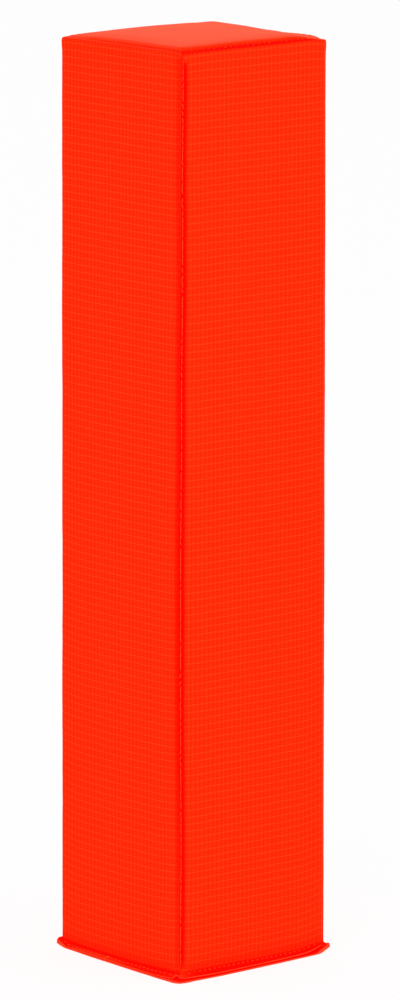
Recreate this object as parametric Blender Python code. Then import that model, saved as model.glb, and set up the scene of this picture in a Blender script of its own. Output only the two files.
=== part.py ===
"""A football field pylon: a sewn cover of coated cloth over a foam core, with a sand pouch in its base.

Metres, +Z up. The origin is on the ground, in the middle of the base. The front panel faces -Y.
The four side panels and the top panel are sewn inside out, so each edge rolls inwards to its seam and its
allowance lies back against the inside of the panel. At the base the side panels turn outwards into flat
hems, which are sewn down on the base panel from outside.
"""

from math import cos, pi, radians, sin, sqrt

import bmesh
import bpy
from mathutils import Vector

# Overall sizes: height to the top of the crown, width over two opposite side panels
HEIGHT = 0.4572
WIDTH = 0.0938

# Crown of the top panel and of the foam under it
CROWN = 0.0018
CROWN_RINGS = 6
CROWN_SIDE_STEPS = 6

# Cover cloth and how its seams are made
CLOTH = 0.0007
ROLL_RADIUS = 0.001
ROLL_STEPS = 8
ALLOWANCE = 0.008
OUTLINE_CORNER = 0.0006
OUTLINE_STEPS = 3

# Flange at the base: the base panel's reach beyond the walls, and the hems on it
FLANGE = 0.0035
BASE_CORNER_RADIUS = 0.007
HEM_BEND_RADIUS = 0.001
HEM_BEND_STEPS = 4
HEM_SET_IN = 0.0004
HEM_END_REACH = 0.001
HEM_TAPER = 0.0075

# Threads
THREAD = 0.0004
THREAD_SIDES = 8
BASE_STITCH_SET_OUT = 0.0003

# Sand pouch: its height over all, and its rim of two cloths
POUCH_HEIGHT = 0.052
POUCH_CLOTH = 0.0005
POUCH_CORNER_RADIUS = 0.009
POUCH_RIM = 0.0045
POUCH_FULLNESS = 0.34
POUCH_RINGS = 8
POUCH_LAST_RING = 0.3

# Foam core
FOAM_PAD_SLOPE = 0.0015

# Room between pieces that touch, and round the pouch, which is put in loosely
CLEARANCE = 0.0003
POUCH_SLACK = 0.0006

# Steps in each rounded corner of the base panel and the pouch
CORNER_STEPS = 6

# Two directions closer than this are the same
SAME_DIRECTION = 1e-6

# A side panel's cloth runs in this plane, and the top panel's edges in that one
SIDE_PLANE = WIDTH / 2 - CLOTH / 2
TOP_PLANE = HEIGHT - CROWN - CLOTH / 2

# Two rolls meet on the mitre between two panels, so each roll's axis is set back from the other panel's
ROLL_OUTER = ROLL_RADIUS + CLOTH / 2
SET_BACK = sqrt(2) * (ROLL_OUTER + CLEARANCE / 2)
FLAT_HALF = SIDE_PLANE - ROLL_RADIUS - SET_BACK
FLAT_TOP = TOP_PLANE - ROLL_RADIUS - SET_BACK

# A thread nests in the groove between two rolls
NEST = sqrt((ROLL_OUTER + THREAD / 2 + CLEARANCE) ** 2 - (ROLL_OUTER + CLEARANCE / 2) ** 2)
GROOVE_HALF = FLAT_HALF + SET_BACK / 2 + NEST / sqrt(2)
GROOVE_TOP = FLAT_TOP + SET_BACK / 2 + NEST / sqrt(2)

# Inner faces of the laid-back allowances, which the filling keeps clear of
ALLOWANCE_INSIDE = SIDE_PLANE - 2 * ROLL_RADIUS - CLOTH / 2
ALLOWANCE_UNDERSIDE = TOP_PLANE - 2 * ROLL_RADIUS - CLOTH / 2

# Heights at the base: the hems lie on the base panel, and the walls start above the hems' bend
HEM_PLANE = CLOTH + CLEARANCE + CLOTH / 2
WALL_START = HEM_PLANE + HEM_BEND_RADIUS

# The pouch lies on the base panel, one cloth on the other at its rim
POUCH_HALF = ALLOWANCE_INSIDE - POUCH_SLACK
POUCH_LOWER_PLANE = CLOTH + CLEARANCE + POUCH_CLOTH / 2
POUCH_RIM_PLANE = POUCH_LOWER_PLANE + POUCH_CLOTH + CLEARANCE
POUCH_UPPER_PLANE = POUCH_LOWER_PLANE + POUCH_HEIGHT - POUCH_CLOTH

# The foam's pads stand out between the allowances
FOAM_BODY = ALLOWANCE_INSIDE - CLEARANCE
FOAM_PAD = SIDE_PLANE - CLOTH / 2 - CLEARANCE
FOAM_PAD_FOOT = FLAT_HALF - ALLOWANCE - CLEARANCE
FOAM_PAD_SHOULDER = FOAM_PAD_FOOT - FOAM_PAD_SLOPE

# The sides and the corners, each by how far it is turned from the front or the front right
SIDES = (("front", 0), ("right", 90), ("back", 180), ("left", 270))
CORNERS = (("front_right", 0), ("back_right", 90), ("back_left", 180), ("front_left", 270))


def clear_scene():
    """Start from an empty scene."""
    for obj in list(bpy.data.objects):
        bpy.data.objects.remove(obj, do_unlink=True)


def material(name, colour, roughness):
    """A plain surface of one linear colour, with no metal in it."""
    made = bpy.data.materials.new(name)
    made.use_nodes = True
    shader = made.node_tree.nodes["Principled BSDF"]
    shader.inputs["Base Color"].default_value = (*colour, 1.0)
    shader.inputs["Roughness"].default_value = roughness
    shader.inputs["Metallic"].default_value = 0.0
    made.diffuse_color = (*colour, 1.0)
    return made


def add_object(name, data, surface, turn=0):
    """Link an object, turned by some degrees about the middle of the pylon."""
    obj = bpy.data.objects.new(name, data)
    obj.rotation_euler = (0, 0, radians(turn))
    data.materials.append(surface)
    bpy.context.scene.collection.objects.link(obj)
    return obj


def finished_mesh(name, bm):
    """Turn a bmesh into a mesh with outward faces, smooth but for its sharp folds."""
    bmesh.ops.recalc_face_normals(bm, faces=bm.faces)
    mesh = bpy.data.meshes.new(name)
    bm.to_mesh(mesh)
    bm.free()
    mesh.shade_smooth()
    mesh.set_sharp_from_angle(angle=radians(40))
    return mesh


def thicken(obj, thickness):
    """Give a cloth surface its thickness, half to each side."""
    solidify = obj.modifiers.new("cloth thickness", "SOLIDIFY")
    solidify.thickness = thickness
    solidify.offset = 0
    solidify.use_even_offset = True


def add_row(bm, points):
    """A row of new vertices."""
    return [bm.verts.new(point) for point in points]


def join_rows(bm, first, second, closed=False):
    """Quads between two rows of as many vertices, and round to the start if the rows are closed."""
    count = len(first)
    for i in range(count if closed else count - 1):
        j = (i + 1) % count
        bm.faces.new((first[i], first[j], second[j], second[i]))


def loft(bm, rings):
    """Quads between closed rings of points, and the first and last rows of vertices."""
    first = row = add_row(bm, rings[0])
    for ring in rings[1:]:
        following = add_row(bm, ring)
        join_rows(bm, row, following, closed=True)
        row = following
    return first, row


def close_to_point(bm, row, point):
    """Triangles from a closed row to one point."""
    middle = bm.verts.new(point)
    for i, vertex in enumerate(row):
        bm.faces.new((vertex, row[(i + 1) % len(row)], middle))


def corner_arc(centre, radius, start, steps):
    """Points on a quarter turn of an outline that runs clockwise, each with its outward direction."""
    arc = []
    for i in range(steps + 1):
        angle = start - i * pi / 2 / steps
        out = (cos(angle), sin(angle))
        arc.append((centre[0] + radius * out[0], centre[1] + radius * out[1], *out))
    return arc


def square_outline(half, radius, steps, side_steps=1):
    """The outline of a square with rounded corners, clockwise, with outward directions.

    Each side may be divided into some steps between its two corners.
    """
    inner = half - radius
    outline = []
    for i, centre in enumerate(((-inner, inner), (inner, inner), (inner, -inner), (-inner, -inner))):
        arc = corner_arc(centre, radius, pi - i * pi / 2, steps)
        u, v, a, b = arc[-1]
        side = [2 * inner * step / side_steps for step in range(1, side_steps)]
        outline += arc + [(u + b * far, v - a * far, a, b) for far in side]
    return outline


def rounded_square(half, radius, height):
    """A ring of points round a square with rounded corners."""
    return [(x, y, height) for x, y, _, _ in square_outline(half, radius, CORNER_STEPS)]


def side_outline():
    """A side panel's flat part, from its lower left corner up, across and down to its lower right."""
    inner = FLAT_HALF - OUTLINE_CORNER
    top = FLAT_TOP - OUTLINE_CORNER
    lower_left = [(-FLAT_HALF, WALL_START, -1, 0)]
    lower_right = [(FLAT_HALF, WALL_START, 1, 0)]
    upper_left = corner_arc((-inner, top), OUTLINE_CORNER, pi, OUTLINE_STEPS)
    upper_right = corner_arc((inner, top), OUTLINE_CORNER, pi / 2, OUTLINE_STEPS)
    return lower_left + upper_left + upper_right + lower_right


def roll_edge(bm, edge, outline, place, closed=False):
    """Roll a panel's edge inwards through half a turn, and return the row where the roll ends."""
    row = edge
    for step in range(1, ROLL_STEPS + 1):
        angle = step * pi / ROLL_STEPS
        reach = ROLL_RADIUS * sin(angle)
        depth = ROLL_RADIUS * (1 - cos(angle))
        rolled = add_row(bm, [place(u + reach * a, v + reach * b, depth) for u, v, a, b in outline])
        join_rows(bm, row, rolled, closed)
        row = rolled
    return row


def straight_stretches(outline, closed):
    """The stretches of an outline whose points all face the same way, as lists of their numbers."""
    stretches = [[0]]
    for i in range(1, len(outline)):
        turned = (Vector(outline[i][2:]) - Vector(outline[i - 1][2:])).length > SAME_DIRECTION
        if turned:
            stretches.append([])
        stretches[-1].append(i)
    if closed and (Vector(outline[0][2:]) - Vector(outline[-1][2:])).length < SAME_DIRECTION:
        stretches[0] = stretches.pop() + stretches[0]
    return [stretch for stretch in stretches if len(stretch) > 1]


def add_allowances(bm, row, outline, place, closed=False):
    """Lay an allowance back from each straight stretch of a rolled edge.

    It is mitred where the next one meets it, and cut square where an open outline starts and ends.
    """
    depth = 2 * ROLL_RADIUS
    for stretch in straight_stretches(outline, closed):
        first, last = stretch[0], stretch[-1]
        start, end = Vector(outline[first][:2]), Vector(outline[last][:2])
        along = (end - start).normalized() * ALLOWANCE
        inwards = Vector(outline[first][2:]) * ALLOWANCE
        if closed or first > 0:
            start += along
        if closed or last < len(outline) - 1:
            end -= along
        free_edge = add_row(bm, [place(*(end - inwards), depth), place(*(start - inwards), depth)])
        bm.faces.new([row[i] for i in stretch] + free_edge)


def side_panel_mesh():
    """The front panel: flat wall, three rolled edges with their allowances, and the hem turned out below."""
    bm = bmesh.new()

    def place(u, v, depth):
        return (u, -SIDE_PLANE + depth, v)

    outline = side_outline()
    edge = add_row(bm, [place(u, v, 0) for u, v, _, _ in outline])
    bm.faces.new(edge)
    rolled = roll_edge(bm, edge, outline, place)
    add_allowances(bm, rolled, outline, place)

    # The bend runs down and out from the foot of the wall
    row = [edge[0], edge[-1]]
    for step in range(1, HEM_BEND_STEPS + 1):
        angle = step * pi / 2 / HEM_BEND_STEPS
        out = SIDE_PLANE + HEM_BEND_RADIUS * (1 - cos(angle))
        height = WALL_START - HEM_BEND_RADIUS * sin(angle)
        bent = add_row(bm, [(u, -out, height) for u in (-FLAT_HALF, FLAT_HALF)])
        join_rows(bm, row, bent)
        row = bent

    # The hem lies flat on the base panel and narrows towards the corner seams
    full = WIDTH / 2 + FLANGE - HEM_SET_IN
    narrow = SIDE_PLANE + HEM_BEND_RADIUS + HEM_END_REACH
    wide_part = FLAT_HALF - HEM_TAPER
    hem_edge = ((-FLAT_HALF, narrow), (-wide_part, full), (wide_part, full), (FLAT_HALF, narrow))
    bm.faces.new((row[0], *add_row(bm, [(u, -out, HEM_PLANE) for u, out in hem_edge]), row[1]))
    return finished_mesh("side panel", bm)


def crown(u, v):
    """How far the middle of the top stands over its edges."""
    return CROWN * (1 - (u / FLAT_HALF) ** 2) * (1 - (v / FLAT_HALF) ** 2)


def top_panel_mesh():
    """The top panel: a crowned square with four rolled edges and their allowances."""
    bm = bmesh.new()

    def place(u, v, depth):
        return (u, v, TOP_PLANE - depth)

    outline = square_outline(FLAT_HALF, OUTLINE_CORNER, OUTLINE_STEPS, CROWN_SIDE_STEPS)
    rings = [[place(u, v, 0) for u, v, _, _ in outline]]
    for ring in range(CROWN_RINGS - 1, 0, -1):
        share = ring / CROWN_RINGS
        points = [(u * share, v * share) for u, v, _, _ in outline]
        rings.append([place(u, v, -crown(u, v)) for u, v in points])
    edge, innermost = loft(bm, rings)
    close_to_point(bm, innermost, place(0, 0, -CROWN))
    rolled = roll_edge(bm, edge, outline, place, closed=True)
    add_allowances(bm, rolled, outline, place, closed=True)
    return finished_mesh("top panel", bm)


def base_panel_mesh():
    """The base panel: a square with rounded corners, flat on the ground."""
    bm = bmesh.new()
    bm.faces.new(add_row(bm, rounded_square(WIDTH / 2 + FLANGE, BASE_CORNER_RADIUS, CLOTH / 2)))
    return finished_mesh("base panel", bm)


def thread_mesh(start, end):
    """A straight run of thread between two points."""
    bm = bmesh.new()
    start, end = Vector(start), Vector(end)
    bmesh.ops.create_cone(
        bm,
        cap_ends=True,
        segments=THREAD_SIDES,
        radius1=THREAD / 2,
        radius2=THREAD / 2,
        depth=(end - start).length,
    )
    turn = (end - start).to_track_quat("Z", "Y").to_matrix()
    bmesh.ops.rotate(bm, verts=bm.verts, matrix=turn)
    bmesh.ops.translate(bm, verts=bm.verts, vec=(start + end) / 2)
    return finished_mesh("thread", bm)


def corner_thread_mesh():
    """The run in the front right corner seam, from above the hems to just under the top seams."""
    x, y = GROOVE_HALF, -GROOVE_HALF
    return thread_mesh((x, y, WALL_START), (x, y, FLAT_TOP - OUTLINE_CORNER))


def top_thread_mesh():
    """The run in the front top seam, between the corner seams."""
    reach = FLAT_HALF - OUTLINE_CORNER
    return thread_mesh((-reach, -GROOVE_HALF, GROOVE_TOP), (reach, -GROOVE_HALF, GROOVE_TOP))


def base_thread_mesh():
    """The run along the front hem, close to the foot of the wall."""
    reach = FLAT_HALF - HEM_TAPER
    out = SIDE_PLANE + HEM_BEND_RADIUS + BASE_STITCH_SET_OUT
    height = HEM_PLANE + CLOTH / 2 + CLEARANCE + THREAD / 2
    return thread_mesh((-reach, -out, height), (reach, -out, height))


def pillow_rings(half, low, high):
    """Rings of a filled pouch, from its foot to near the middle of its top."""
    rings = []
    for step in range(POUCH_RINGS + 1):
        angle = step * pi / 2 / POUCH_RINGS
        drawn_in = max(cos(angle), 0) ** POUCH_FULLNESS
        share = POUCH_LAST_RING + (1 - POUCH_LAST_RING) * drawn_in
        height = low + (high - low) * sin(angle) ** POUCH_FULLNESS
        rings.append(rounded_square(half * share, POUCH_CORNER_RADIUS * share, height))
    return rings


def pouch_upper_mesh():
    """The pouch's upper cloth: a flat rim with a full pillow inside it."""
    bm = bmesh.new()
    rim = rounded_square(POUCH_HALF, POUCH_CORNER_RADIUS, POUCH_RIM_PLANE)
    pillow = pillow_rings(POUCH_HALF - POUCH_RIM, POUCH_RIM_PLANE, POUCH_UPPER_PLANE)
    _, last = loft(bm, [rim, *pillow])
    bm.faces.new(last)
    return finished_mesh("pouch upper", bm)


def pouch_lower_mesh():
    """The pouch's lower cloth, flat on the base panel."""
    bm = bmesh.new()
    bm.faces.new(add_row(bm, rounded_square(POUCH_HALF, POUCH_CORNER_RADIUS, POUCH_LOWER_PLANE)))
    return finished_mesh("pouch lower", bm)


def sand_mesh():
    """The sand, which fills the pouch."""
    bm = bmesh.new()
    inside = POUCH_CLOTH / 2 + CLEARANCE
    foot = POUCH_HALF - POUCH_RIM - inside
    first, last = loft(bm, pillow_rings(foot, POUCH_LOWER_PLANE + inside, POUCH_UPPER_PLANE - inside))
    bm.faces.new(first)
    bm.faces.new(last)
    return finished_mesh("sand", bm)


def pouch_thread_curve():
    """The run that closes the pouch, lying on its rim."""
    curve = bpy.data.curves.new("pouch thread", "CURVE")
    curve.dimensions = "3D"
    curve.bevel_depth = THREAD / 2
    curve.bevel_resolution = 1
    height = POUCH_RIM_PLANE + POUCH_CLOTH / 2 + CLEARANCE + THREAD / 2
    points = rounded_square(POUCH_HALF - POUCH_RIM / 2, POUCH_CORNER_RADIUS, height)
    spline = curve.splines.new("POLY")
    spline.points.add(len(points) - 1)
    for point, place in zip(spline.points, points):
        point.co = (*place, 1)
    spline.use_cyclic_u = True
    return curve


def foam_ring(pad, height):
    """A ring round the foam's body, with a pad standing out to some distance on each side."""
    foot, shoulder = FOAM_PAD_FOOT, FOAM_PAD_SHOULDER
    across = [shoulder * (2 * step / CROWN_SIDE_STEPS - 1) for step in range(CROWN_SIDE_STEPS + 1)]
    front = [(-FOAM_BODY, FOAM_BODY), (-foot, FOAM_BODY)]
    front += [(u, pad) for u in across]
    front += [(foot, FOAM_BODY)]
    ring = []
    for c, s in ((1, 0), (0, 1), (-1, 0), (0, -1)):
        ring += [(u * c + out * s, u * s - out * c, height) for u, out in front]
    return ring


def foam_core_mesh():
    """The foam core: cut back where the allowances lie, and filling the cover between them."""
    bm = bmesh.new()
    pad_end = FLAT_TOP - ALLOWANCE - CLEARANCE
    shelf = ALLOWANCE_UNDERSIDE - CLEARANCE
    top = TOP_PLANE - CLOTH / 2 - CLEARANCE
    bottom = POUCH_UPPER_PLANE + POUCH_CLOTH / 2 + CLEARANCE
    shelf_ring = foam_ring(FOAM_BODY, shelf)

    def shrunk(half):
        share = half / FOAM_BODY
        return [(x * share, y * share) for x, y, _ in shelf_ring]

    rings = [
        foam_ring(FOAM_PAD, bottom),
        foam_ring(FOAM_PAD, pad_end - FOAM_PAD_SLOPE),
        foam_ring(FOAM_BODY, pad_end),
        shelf_ring,
        [(x, y, shelf) for x, y in shrunk(FOAM_PAD_FOOT)],
    ]
    for ring in range(CROWN_RINGS, 0, -1):
        half = FOAM_PAD_SHOULDER * ring / CROWN_RINGS
        rings.append([(x, y, top + crown(x, y)) for x, y in shrunk(half)])
    first, last = loft(bm, rings)
    bm.faces.new(first)
    close_to_point(bm, last, (0, 0, top + CROWN))
    return finished_mesh("foam core", bm)


def add_cover(cloth, base_cloth):
    """The six panels of the cover."""
    side_mesh = side_panel_mesh()
    for name, turn in SIDES:
        thicken(add_object(f"{name}_panel", side_mesh.copy(), cloth, turn), CLOTH)
    thicken(add_object("top_panel", top_panel_mesh(), cloth), CLOTH)
    thicken(add_object("base_panel", base_panel_mesh(), base_cloth), CLOTH)


def add_stitching(thread):
    """The runs of thread in the corner seams, in the top seams and along the hems."""
    corner_mesh = corner_thread_mesh()
    for name, turn in CORNERS:
        add_object(f"corner_stitching_{name}", corner_mesh.copy(), thread, turn)
    for place, mesh in (("top", top_thread_mesh()), ("base", base_thread_mesh())):
        for name, turn in SIDES:
            add_object(f"{place}_stitching_{name}", mesh.copy(), thread, turn)


def add_filling(foam, pouch_cloth, thread, sand):
    """The foam core, and the sand pouch that it stands on."""
    add_object("foam_core", foam_core_mesh(), foam)
    thicken(add_object("ballast_pouch_upper", pouch_upper_mesh(), pouch_cloth), POUCH_CLOTH)
    thicken(add_object("ballast_pouch_lower", pouch_lower_mesh(), pouch_cloth), POUCH_CLOTH)
    add_object("ballast_pouch_stitching", pouch_thread_curve(), thread)
    add_object("ballast_sand", sand_mesh(), sand)


def main():
    clear_scene()
    cover_cloth = material("cover cloth", (0.95, 0.027, 0.003), 0.5)
    base_cloth = material("base cloth", (0.93, 0.025, 0.003), 0.55)
    thread = material("thread", (1.0, 0.16, 0.07), 0.6)
    foam = material("foam", (0.82, 0.8, 0.75), 0.95)
    pouch_cloth = material("pouch cloth", (0.55, 0.47, 0.35), 0.9)
    sand = material("sand", (0.45, 0.33, 0.2), 1.0)
    add_cover(cover_cloth, base_cloth)
    add_stitching(thread)
    add_filling(foam, pouch_cloth, thread, sand)


main()
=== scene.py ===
"""How a football field pylon looks: its sewn cover, its threads, and the foam and sand that fill it.

Metres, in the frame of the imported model: +Z up, the front panel faces -Y, and the ground is at z = 0.
"""
from math import cos, pi, radians, sin, sqrt

import bpy
import numpy as np
from mathutils import Matrix, Vector


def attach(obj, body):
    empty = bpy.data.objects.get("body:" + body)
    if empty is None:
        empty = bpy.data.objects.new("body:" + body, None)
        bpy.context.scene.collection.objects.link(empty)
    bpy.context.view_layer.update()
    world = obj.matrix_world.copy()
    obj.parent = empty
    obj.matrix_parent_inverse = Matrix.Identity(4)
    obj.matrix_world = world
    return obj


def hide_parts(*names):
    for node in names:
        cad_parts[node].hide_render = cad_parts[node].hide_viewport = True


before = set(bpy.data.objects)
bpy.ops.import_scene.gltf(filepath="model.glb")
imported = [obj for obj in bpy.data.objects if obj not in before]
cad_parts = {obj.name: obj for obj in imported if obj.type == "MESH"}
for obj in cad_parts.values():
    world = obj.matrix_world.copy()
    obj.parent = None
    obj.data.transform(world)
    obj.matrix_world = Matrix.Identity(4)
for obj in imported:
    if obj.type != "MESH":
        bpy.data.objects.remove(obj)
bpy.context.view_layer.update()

# Sand, about a quarter of a litre, which keeps the pylon standing. It is poured loose into the pouch
# and takes the pouch's shape.
MM = 0.001
SAND_HALF = 38.5 * MM
SAND_CORNER = 8.6 * MM
SAND_FOOT = 1.9 * MM
SAND_TOP = 52.1 * MM
SAND_STEPS = 60
SAND_SAG = 0.35 * MM
SAG_LENGTHS = 14 * MM, 40 * MM
SAND_GRAIN = 0.5 * MM
SAND_RELIEF = 0.3 * MM
SAND_PALE = (0.60, 0.47, 0.31, 1)
SAND_DARK = (0.30, 0.21, 0.12, 1)
FULLNESS = 0.34


class Wire:
    """A node's output. Its operators add Math nodes, so that shader maths reads as plain expressions."""

    def __init__(self, tree, socket=None):
        self.tree = tree
        self.socket = socket

    def node(self, kind, settings=None, inputs=None, output=0):
        """Another node: its settings come first, then the values or links of its sockets."""
        made = self.tree.nodes.new(kind)
        for name, value in (settings or {}).items():
            setattr(made, name, value)
        for name, value in (inputs or {}).items():
            if isinstance(value, Wire):
                self.tree.links.new(value.socket, made.inputs[name])
            else:
                made.inputs[name].default_value = value
        return Wire(self.tree, made.outputs[output])

    def math(self, operation, *others, clamp=False):
        settings = {"operation": operation, "use_clamp": clamp}
        return self.node("ShaderNodeMath", settings, dict(enumerate((self, *others))))

    def __add__(self, other):
        return self.math("ADD", other)

    def __sub__(self, other):
        return self.math("SUBTRACT", other)

    def __rsub__(self, other):
        return self * -1 + other

    def __mul__(self, other):
        return self.math("MULTIPLY", other)

    def __truediv__(self, other):
        return self.math("DIVIDE", other)

    __radd__ = __add__
    __rmul__ = __mul__


def blend(share, low, high):
    """The colour that lies some share of the way from one colour to another."""
    return share.node("ShaderNodeMix", {"data_type": "RGBA"}, {0: share, 6: low, 7: high}, output=2)


def mottle(where, size, detail=2):
    """Soft noise from 0 to 1, whose patches are about as large as the size."""
    return where.node("ShaderNodeTexNoise", {}, {"Vector": where, "Scale": 1 / size, "Detail": detail})


def relief(height, distance):
    """A surface direction that follows a height from 0 to 1, which stands for that distance."""
    return height.node("ShaderNodeBump", {}, {"Strength": 1.0, "Distance": distance, "Height": height})


def new_material(name):
    """A material, and the wire from which its nodes are added."""
    made = bpy.data.materials.new(name)
    made.use_nodes = True
    return made, Wire(made.node_tree)


def finish_material(made, **sockets):
    """Set or link sockets of a material's shader, whose names have _ here in place of a space."""
    shader = made.node_tree.nodes["Principled BSDF"]
    for name, value in sockets.items():
        socket = shader.inputs[name.replace("_", " ")]
        if isinstance(value, Wire):
            made.node_tree.links.new(value.socket, socket)
        else:
            socket.default_value = value


def enter(mode):
    """Go to object mode or edit mode."""
    bpy.ops.object.mode_set(mode=mode)


def select_none():
    """Select no piece."""
    bpy.ops.object.select_all(action="DESELECT")


def select_only(*pieces):
    """Select these pieces and nothing else. The first one is active."""
    select_none()
    for piece in pieces:
        piece.select_set(True)
    bpy.context.view_layer.objects.active = pieces[0]


def add_grid(name, columns, rows):
    """A flat grid of so many faces, from -1 to 1 each way, with nothing else selected."""
    select_none()
    bpy.ops.mesh.primitive_grid_add(x_subdivisions=columns, y_subdivisions=rows, size=2)
    bpy.context.object.name = name
    return bpy.context.object


def places_of(piece):
    """The places of a piece's vertices, as an array."""
    places = np.empty(len(piece.data.vertices) * 3)
    piece.data.vertices.foreach_get("co", places)
    return places.reshape(-1, 3)


def move_to(piece, *axes):
    """Move a piece's vertices to these places."""
    piece.data.vertices.foreach_set("co", np.stack(axes, 1).ravel())
    piece.data.update()


def waves(seed, shortest, longest, u, v):
    """A smooth uneven surface over u and v, mostly between -1 and 1, the same for the same seed."""
    chance = np.random.default_rng(seed)
    total = np.zeros_like(u)
    for _ in range(7):
        length = chance.uniform(shortest, longest)
        turn, start = chance.uniform(0, 2 * pi, 2)
        total += np.sin(2 * pi * (u * cos(turn) + v * sin(turn)) / length + start)
    return total / sqrt(7)


def rounded_square(a, b, half, corner):
    """Places on a square with rounded corners, for a and b from -1 to 1, and the share of the way out."""
    share = np.maximum(np.maximum(abs(a), abs(b)), 1e-9)
    inner = 1 - corner / half
    x, y = abs(a) / share - inner, abs(b) / share - inner
    in_corner = (x > 0) & (y > 0)
    pull = np.where(in_corner, (corner / half) / np.maximum(np.hypot(x, y), 1e-9), 1)
    x, y = (inner + x * pull) * half, (inner + y * pull) * half
    return np.sign(a) * x, np.sign(b) * y, share


def pillow(a, b, half, corner, foot, top):
    """Places on the upper side of a full square pouch."""
    x, y, share = rounded_square(a, b, half, corner)
    turn = (1 - np.clip(share, 0, 1)) * pi / 2
    drawn_in = np.cos(turn) ** FULLNESS
    return x * drawn_in, y * drawn_in, foot + (top - foot) * np.sin(turn) ** FULLNESS


sand = add_grid("sand_fill", SAND_STEPS, SAND_STEPS)
a, b, _ = places_of(sand).T
x, y, z = pillow(a, b, SAND_HALF, SAND_CORNER, SAND_FOOT, SAND_TOP)
z -= SAND_SAG * (1 + waves(3, *SAG_LENGTHS, x, y)) * (z - SAND_FOOT) / SAND_TOP
move_to(sand, x, y, z)
enter("EDIT")
bpy.ops.mesh.select_mode(type="EDGE")
bpy.ops.mesh.select_all(action="DESELECT")
bpy.ops.mesh.select_non_manifold()
bpy.ops.mesh.edge_face_add()
bpy.ops.mesh.select_all(action="SELECT")
bpy.ops.mesh.normals_make_consistent(inside=False)
enter("OBJECT")
bpy.ops.object.shade_smooth_by_angle(angle=radians(50))

sand_material, wire = new_material("loose sand")
grain = mottle(wire.node("ShaderNodeTexCoord", output="Object"), SAND_GRAIN, 3)
finish_material(sand_material, Base_Color=blend(grain, SAND_DARK, SAND_PALE), Roughness=0.95,
                Normal=relief(grain, SAND_RELIEF))
sand.data.materials.append(sand_material)
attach(sand, "root")
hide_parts("ballast_sand")

# Pouch of plain cotton for the sand. Two cloths are laid one on the other and sewn together round
# their rim, the upper one larger so that it bulges when it is filled.
POUCH_HALF = 43.4 * MM
POUCH_CLOTH = 0.5 * MM
POUCH_CORNER = 9 * MM
POUCH_LOWER_PLANE = 1.25 * MM
POUCH_RIM_PLANE = 2.05 * MM
POUCH_TOP = 52.7 * MM
POUCH_RIM = 4.3 * MM
POUCH_STEPS = 72
POUCH_RIM_SHARE = 0.9
POUCH_UPPER_CUT = 152 * MM
POUCH_PLEAT = 0.5 * MM
POUCH_PLEAT_PITCH = 9 * MM
POUCH_PLEAT_SHARE = 0.3
POUCH_PLEAT_HEIGHT = 14 * MM
POUCH_SAG = 0.4 * MM
POUCH_RIPPLE = 0.05 * MM
COTTON_YARN = 0.8 * MM
COTTON_RELIEF = 0.08 * MM
COTTON_PALE = (0.66, 0.58, 0.45, 1)
COTTON_DARK = (0.42, 0.35, 0.25, 1)


def keep_cut(piece, u, v):
    """Give a cloth a UV map in metres of its flat cut, so that the weave follows the cloth."""
    corners = np.empty(len(piece.data.loops), dtype=int)
    piece.data.loops.foreach_get("vertex_index", corners)
    while piece.data.uv_layers:
        piece.data.uv_layers.remove(piece.data.uv_layers[0])
    cut = piece.data.uv_layers.new(name="cut")
    cut.data.foreach_set("uv", np.stack([u[corners], v[corners]], 1).ravel())


def give_thickness(piece, thickness, inside=0, shares=None):
    """Give a cloth half its thickness to each side. The cut edge takes the second material."""
    solidify = piece.modifiers.new("cloth thickness", "SOLIDIFY")
    if shares is not None:
        group = piece.vertex_groups.new(name="thickness")
        for vertex, share in enumerate(shares):
            group.add([vertex], share, "REPLACE")
        solidify.vertex_group = group.name
    solidify.thickness = thickness
    solidify.offset = 0
    solidify.material_offset_rim = 1
    solidify.material_offset = inside
    select_only(piece)
    bpy.ops.object.modifier_apply(modifier=solidify.name)
    bpy.ops.object.shade_smooth_by_angle(angle=radians(50))


def cut_axes(wire):
    """How far across and how far along its flat cut a point of the cloth lies, in metres."""
    place = wire.node("ShaderNodeUVMap", {"uv_map": "cut"})
    return [place.node("ShaderNodeSeparateXYZ", {}, {0: place}, output=axis) for axis in range(2)]


def plain_weave(across, along, yarn):
    """A height from 0 to 1, of yarns that pass over and under each other."""
    turns = pi / yarn
    return (across * turns).math("SINE") * (along * turns).math("SINE") * 0.5 + 0.5


cotton, wire = new_material("pouch cotton")
across, along = cut_axes(wire)
weave = plain_weave(across, along, COTTON_YARN)
slubs = mottle(wire.node("ShaderNodeTexCoord", output="Object"), 6 * MM, 4)
finish_material(cotton, Base_Color=blend(weave * 0.45 + slubs * 0.55, COTTON_DARK, COTTON_PALE),
                Roughness=0.9, Normal=relief(weave, COTTON_RELIEF))

pouch_upper = add_grid("pouch_cloth_upper", POUCH_STEPS, POUCH_STEPS)
a, b, _ = places_of(pouch_upper).T
share = np.maximum(abs(a), abs(b))
x, y, z = pillow(a / POUCH_RIM_SHARE, b / POUCH_RIM_SHARE, POUCH_HALF - POUCH_RIM, POUCH_CORNER,
                 POUCH_RIM_PLANE, POUCH_TOP)
rim_x, rim_y, _ = rounded_square(a, b, POUCH_HALF, POUCH_CORNER)
on_rim = np.clip((share - POUCH_RIM_SHARE) / (1 - POUCH_RIM_SHARE), 0, 1)
x, y = x + (rim_x - x) * on_rim, y + (rim_y - y) * on_rim
low = np.clip((1 - share) / POUCH_PLEAT_SHARE, 0, 1) * (1 - on_rim)
low *= np.exp(-(z - POUCH_RIM_PLANE) / POUCH_PLEAT_HEIGHT)
round_it = np.arctan2(y, x) * POUCH_HALF
pleat = POUCH_PLEAT * low * np.sin(2 * pi * round_it / POUCH_PLEAT_PITCH + waves(5, 30 * MM, 70 * MM, x, y))
x, y = x * (1 - pleat / POUCH_HALF), y * (1 - pleat / POUCH_HALF)
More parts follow.
